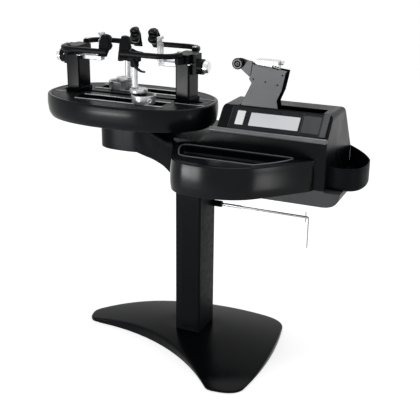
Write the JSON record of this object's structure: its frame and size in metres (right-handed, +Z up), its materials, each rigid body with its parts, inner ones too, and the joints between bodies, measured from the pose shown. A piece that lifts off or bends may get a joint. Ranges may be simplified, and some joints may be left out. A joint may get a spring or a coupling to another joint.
{
  "type": "racket stringing machine",
  "caption": "Standing electric racket stringing machine: a turning oval table with racket supports and string clamps, and a tension head that pulls and holds the string.",
  "frame": {"origin": "on the floor, under the axis of the column", "axes": "+X from the turntable towards the tension head, +Y away from the operator, +Z up"},
  "size_m": [1.1198, 0.5546, 1.0681],
  "materials": {
    "gloss_paint": "gloss black paint",
    "gloss_housing": "gloss black moulding",
    "cast_arm": "painted black casting",
    "black_plastic": "satin moulded",
    "black_rubber": "matte",
    "chrome": "polished",
    "satin_steel": "brushed",
    "plate_steel": "satin grey",
    "clear_plastic": "translucent",
    "white_plastic": "smooth",
    "display": "clear cover over a pale display"
  },
  "bodies": {
    "stand": {"base_plate": "gloss_paint", "base_sole": "black_rubber", "column": "gloss_paint", "column_panel": "gloss_paint", "rod_collar": "black_plastic", "reel_rod": "chrome", "support_arm": "cast_arm", "tool_tray": "gloss_housing", "console_housing": "gloss_housing", "display_panel": "black_plastic", "display_window": "display", "status_window": "white_plastic", "side_bin": "gloss_housing", "belly_cover": "gloss_housing", "guide_rail": "satin_steel", "drive_motor": "black_plastic", "screw_bearing": "black_plastic", "power_inlet": "black_plastic", "turntable_bearing": "satin_steel"},
    "chain": {"ball_chain": "chrome"},
    "rocker": {"power_switch": "black_plastic"},
    "turntable": {"turntable_pan": "gloss_housing", "deck_plate": "black_plastic"},
    "tension_head": {"carriage": "satin_steel", "arm_front_plate": "plate_steel", "arm_back_plate": "black_plastic", "roller_bracket": "plate_steel", "gripper_fixed_jaw": "white_plastic"},
    "screw": {"drive_screw": "satin_steel"},
    "roller": {"string_roller": "black_plastic"},
    "moving_jaw": {"gripper_moving_jaw": "white_plastic"},
    "jaw_ring": {"gripper_ring": "chrome"},
    "right_tower": {"right_post": "gloss_paint", "right_yoke": "cast_arm"},
    "right_support": {"right_support_bar": "chrome", "right_holder": "clear_plastic"},
    "right_knob": {"right_knob": "chrome"},
    "right_front_arm": {"right_front_arm": "black_plastic", "right_front_pad": "black_plastic"},
    "right_back_arm": {"right_back_arm": "black_plastic", "right_back_pad": "black_plastic"},
    "left_tower": {"left_post": "gloss_paint", "left_yoke": "cast_arm"},
    "left_support": {"left_support_bar": "chrome", "left_holder": "clear_plastic"},
    "left_knob": {"left_knob": "chrome"},
    "left_front_arm": {"left_front_arm": "black_plastic", "left_front_pad": "black_plastic"},
    "left_back_arm": {"left_back_arm": "black_plastic", "left_back_pad": "black_plastic"},
    "front_clamp": {"front_clamp_base": "chrome"},
    "front_clamp_turret": {"front_clamp_swivel": "chrome", "front_clamp_post": "chrome"},
    "front_clamp_jaws": {"front_clamp_head": "black_plastic"},
    "front_clamp_handle": {"front_clamp_lever": "black_plastic"},
    "back_clamp": {"back_clamp_base": "chrome"},
    "back_clamp_turret": {"back_clamp_swivel": "chrome", "back_clamp_post": "chrome"},
    "back_clamp_jaws": {"back_clamp_head": "black_plastic"},
    "back_clamp_handle": {"back_clamp_lever": "black_plastic"}
  },
  "joints": [
    {"name": "chain_swing", "type": "hinge", "parent": "stand", "child": "chain", "pos_m": [0.3909, 0.04, 0.5033], "axis": [0, 1, 0], "range_deg": [-30, 8]},
    {"name": "rocker_tilt", "type": "hinge", "parent": "stand", "child": "rocker", "pos_m": [0.34, 0.223, 0.6836], "axis": [1, 0, 0], "range_deg": [-5, 5]},
    {"name": "turntable_spin", "type": "hinge", "parent": "stand", "child": "turntable", "pos_m": [-0.24, 0, 0.78], "axis": [0, 0, 1], "continuous": true},
    {"name": "carriage_slide", "type": "slide", "parent": "stand", "child": "tension_head", "axis": [1, 0, 0], "range_m": [0, 0.14]},
    {"name": "screw_turn", "type": "hinge", "parent": "stand", "child": "screw", "pos_m": [0.3, 0, 0.7297], "axis": [1, 0, 0], "range_deg": [0, 2520]},
    {"name": "roller_turn", "type": "hinge", "parent": "tension_head", "child": "roller", "pos_m": [0.147, 0, 0.999], "axis": [0, 1, 0], "continuous": true},
    {"name": "jaw_open", "type": "slide", "parent": "tension_head", "child": "moving_jaw", "axis": [0, 1, 0], "range_m": [-0.003, 0]},
    {"name": "jaw_ring_turn", "type": "hinge", "parent": "tension_head", "child": "jaw_ring", "pos_m": [0.2875, 0.0105, 1.0105], "axis": [1, 0, 0], "range_deg": [-180, 180]},
    {"name": "right_tower_slide", "type": "slide", "parent": "turntable", "child": "right_tower", "axis": [1, 0, 0], "range_m": [-0.008, 0.015]},
    {"name": "right_support_slide", "type": "slide", "parent": "right_tower", "child": "right_support", "axis": [1, 0, 0], "range_m": [-0.025, 0.006]},
    {"name": "right_knob_turn", "type": "hinge", "parent": "right_tower", "child": "right_knob", "pos_m": [0.02, 0, 0.9767], "axis": [1, 0, 0], "range_deg": [-60, 720]},
    {"name": "right_front_arm_swing", "type": "hinge", "parent": "right_tower", "child": "right_front_arm", "pos_m": [-0.034, -0.06, 1.02], "axis": [0, 0, 1], "range_deg": [-1, 12]},
    {"name": "right_back_arm_swing", "type": "hinge", "parent": "right_tower", "child": "right_back_arm", "pos_m": [-0.034, 0.06, 1.02], "axis": [0, 0, 1], "range_deg": [-12, 1]},
    {"name": "left_tower_slide", "type": "slide", "parent": "turntable", "child": "left_tower", "axis": [1, 0, 0], "range_m": [-0.015, 0.008]},
    {"name": "left_support_slide", "type": "slide", "parent": "left_tower", "child": "left_support", "axis": [1, 0, 0], "range_m": [-0.006, 0.025]},
    {"name": "left_knob_turn", "type": "hinge", "parent": "left_tower", "child": "left_knob", "pos_m": [-0.5, 0, 0.9767], "axis": [1, 0, 0], "range_deg": [-60, 720]},
    {"name": "left_front_arm_swing", "type": "hinge", "parent": "left_tower", "child": "left_front_arm", "pos_m": [-0.446, -0.06, 1.02], "axis": [0, 0, 1], "range_deg": [-12, 1]},
    {"name": "left_back_arm_swing", "type": "hinge", "parent": "left_tower", "child": "left_back_arm", "pos_m": [-0.446, 0.06, 1.02], "axis": [0, 0, 1], "range_deg": [-1, 12]},
    {"name": "front_clamp_slide", "type": "slide", "parent": "turntable", "child": "front_clamp", "axis": [1, 0, 0], "range_m": [-0.12, 0.035]},
    {"name": "front_clamp_swivel_turn", "type": "hinge", "parent": "front_clamp", "child": "front_clamp_turret", "pos_m": [-0.173, -0.075, 0.895], "axis": [0, 0, -1], "range_deg": [-10, 10]},
    {"name": "front_clamp_raise", "type": "slide", "parent": "front_clamp_turret", "child": "front_clamp_jaws", "axis": [0, 0, 1], "range_m": [0, 0.043]},
    {"name": "front_clamp_lever_turn", "type": "hinge", "parent": "front_clamp_jaws", "child": "front_clamp_handle", "pos_m": [-0.191, -0.078, 0.9972], "axis": [0, 1, 0], "range_deg": [-60, 8]},
    {"name": "back_clamp_slide", "type": "slide", "parent": "turntable", "child": "back_clamp", "axis": [1, 0, 0], "range_m": [-0.035, 0.12]},
    {"name": "back_clamp_swivel_turn", "type": "hinge", "parent": "back_clamp", "child": "back_clamp_turret", "pos_m": [-0.307, 0.075, 0.895], "axis": [0, 0, -1], "range_deg": [-10, 10]},
    {"name": "back_clamp_raise", "type": "slide", "parent": "back_clamp_turret", "child": "back_clamp_jaws", "axis": [0, 0, 1], "range_m": [0, 0.043]},
    {"name": "back_clamp_lever_turn", "type": "hinge", "parent": "back_clamp_jaws", "child": "back_clamp_handle", "pos_m": [-0.289, 0.078, 0.9972], "axis": [0, -1, 0], "range_deg": [-60, 8]}
  ],
  "couplings": [
    {"joint": "screw_turn", "follows": "carriage_slide", "rad_per_m": 314.16},
    {"joint": "right_front_arm_swing", "follows": "right_knob_turn", "ratio": 0.016667},
    {"joint": "right_back_arm_swing", "follows": "right_knob_turn", "ratio": -0.016667},
    {"joint": "left_front_arm_swing", "follows": "left_knob_turn", "ratio": -0.016667},
    {"joint": "left_back_arm_swing", "follows": "left_knob_turn", "ratio": 0.016667}
  ]
}
